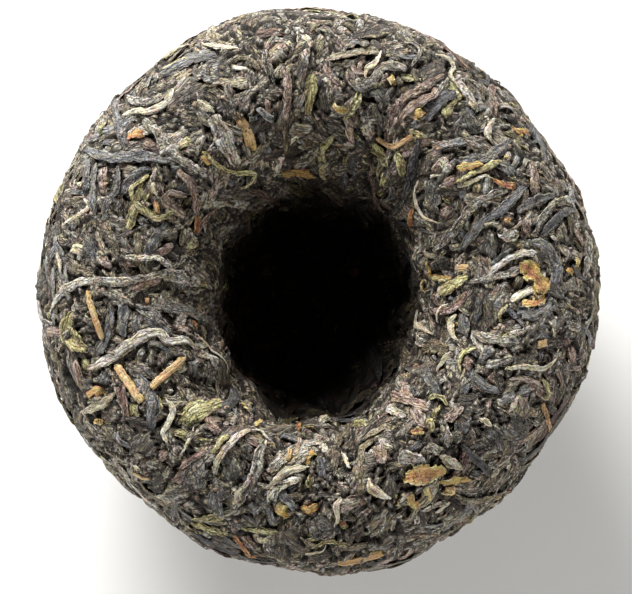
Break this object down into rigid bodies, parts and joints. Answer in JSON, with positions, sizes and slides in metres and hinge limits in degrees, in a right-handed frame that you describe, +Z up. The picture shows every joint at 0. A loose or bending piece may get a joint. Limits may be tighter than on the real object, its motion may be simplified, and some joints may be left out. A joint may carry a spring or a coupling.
{
  "type": "pu-erh tuocha",
  "caption": "Pu-erh tea leaves pressed into a thick nest-shaped cake with a deep round hollow, lying on its domed side with the hollow facing up.",
  "frame": {"origin": "on the axis of the nest, in the small flat spot under its dome that it rests on", "axes": "+Z up along the axis, out of the hollow; +Y towards the top of the picture and +X to its right"},
  "size_m": [0.0815, 0.0829, 0.0435],
  "materials": {
    "pressed_leaf": "dry rolled tea leaves, dull with a faint sheen on their folds"
  },
  "bodies": {
    "root": {"tuocha": "pressed_leaf"}
  },
  "joints": []
}
